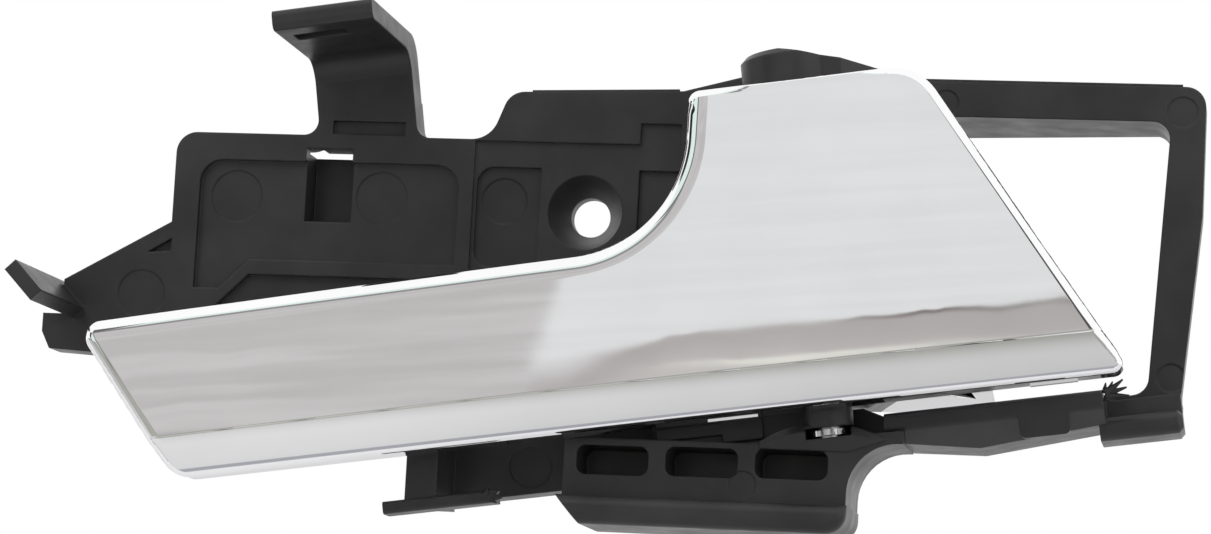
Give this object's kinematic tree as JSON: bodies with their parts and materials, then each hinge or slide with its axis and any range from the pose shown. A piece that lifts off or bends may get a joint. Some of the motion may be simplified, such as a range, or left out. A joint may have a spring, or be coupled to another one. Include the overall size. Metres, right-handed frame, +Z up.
{
  "type": "car interior door handle",
  "caption": "Car interior door handle: a chrome pull lever hinged on a black moulded bracket with a screw hole, a hook, a window and a crank for the latch cable.",
  "frame": {"origin": "centre of the screw hole, on the seat where its cone ends and its straight wall starts", "axes": "+X right along the door as seen from the cabin, +Y into the door, +Z up"},
  "size_m": [0.1754, 0.052, 0.0751],
  "materials": {
    "bracket": "moulded, fine matt grain",
    "lever": "bright plating over a plastic moulding",
    "pin_steel": "bright drawn",
    "clip_steel": "bright stamped",
    "spring_steel": "drawn wire",
    "bumper": "matt"
  },
  "bodies": {
    "bracket": {"bracket": "bracket", "pivot_pin": "pin_steel", "pin_clip": "clip_steel", "return_spring": "spring_steel", "stop_bumper": "bumper"},
    "lever": {"lever": "lever"}
  },
  "joints": [
    {"name": "lever_hinge", "type": "hinge", "parent": "bracket", "child": "lever", "pos_m": [0.0359, -0.018, -0.005], "axis": [-0.1478, 0, 0.989], "range_deg": [0, 35], "stiffness_Nm_per_rad": 0.3, "springref_deg": -20.05, "deforming": ["return_spring"]}
  ]
}
